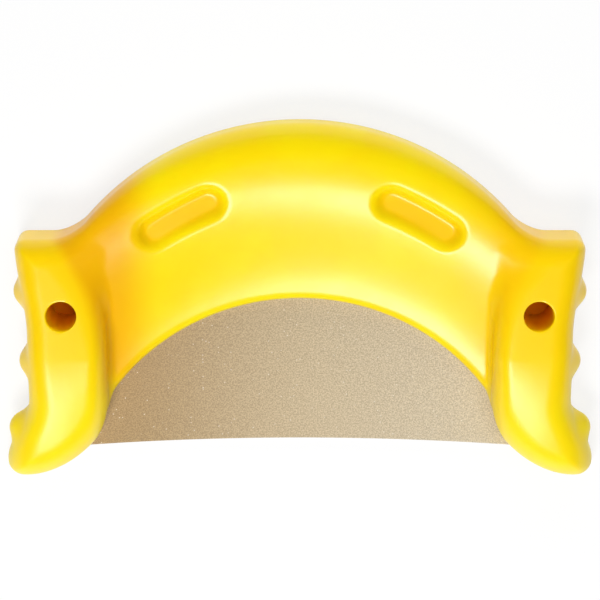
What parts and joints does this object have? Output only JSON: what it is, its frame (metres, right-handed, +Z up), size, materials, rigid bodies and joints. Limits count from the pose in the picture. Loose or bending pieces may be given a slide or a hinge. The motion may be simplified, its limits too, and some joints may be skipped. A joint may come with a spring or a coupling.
{
  "type": "moulded foothold arch",
  "caption": "Low moulded elastomer arch with a dished wall, bolt-down ears, outward toes and outer lugs, seated over a thin gritty sheet.",
  "frame": {"origin": "on the floor, in the middle of the whole", "axes": "+X to the right, +Y from the toes to the crown, +Z up from the floor"},
  "size_m": [0.2068, 0.1272, 0.024],
  "materials": {
    "moulding": "glossy moulded",
    "sheet": "fine grit"
  },
  "bodies": {
    "root": {"arch_moulding": "moulding", "grit_sheet": "sheet"}
  },
  "joints": []
}
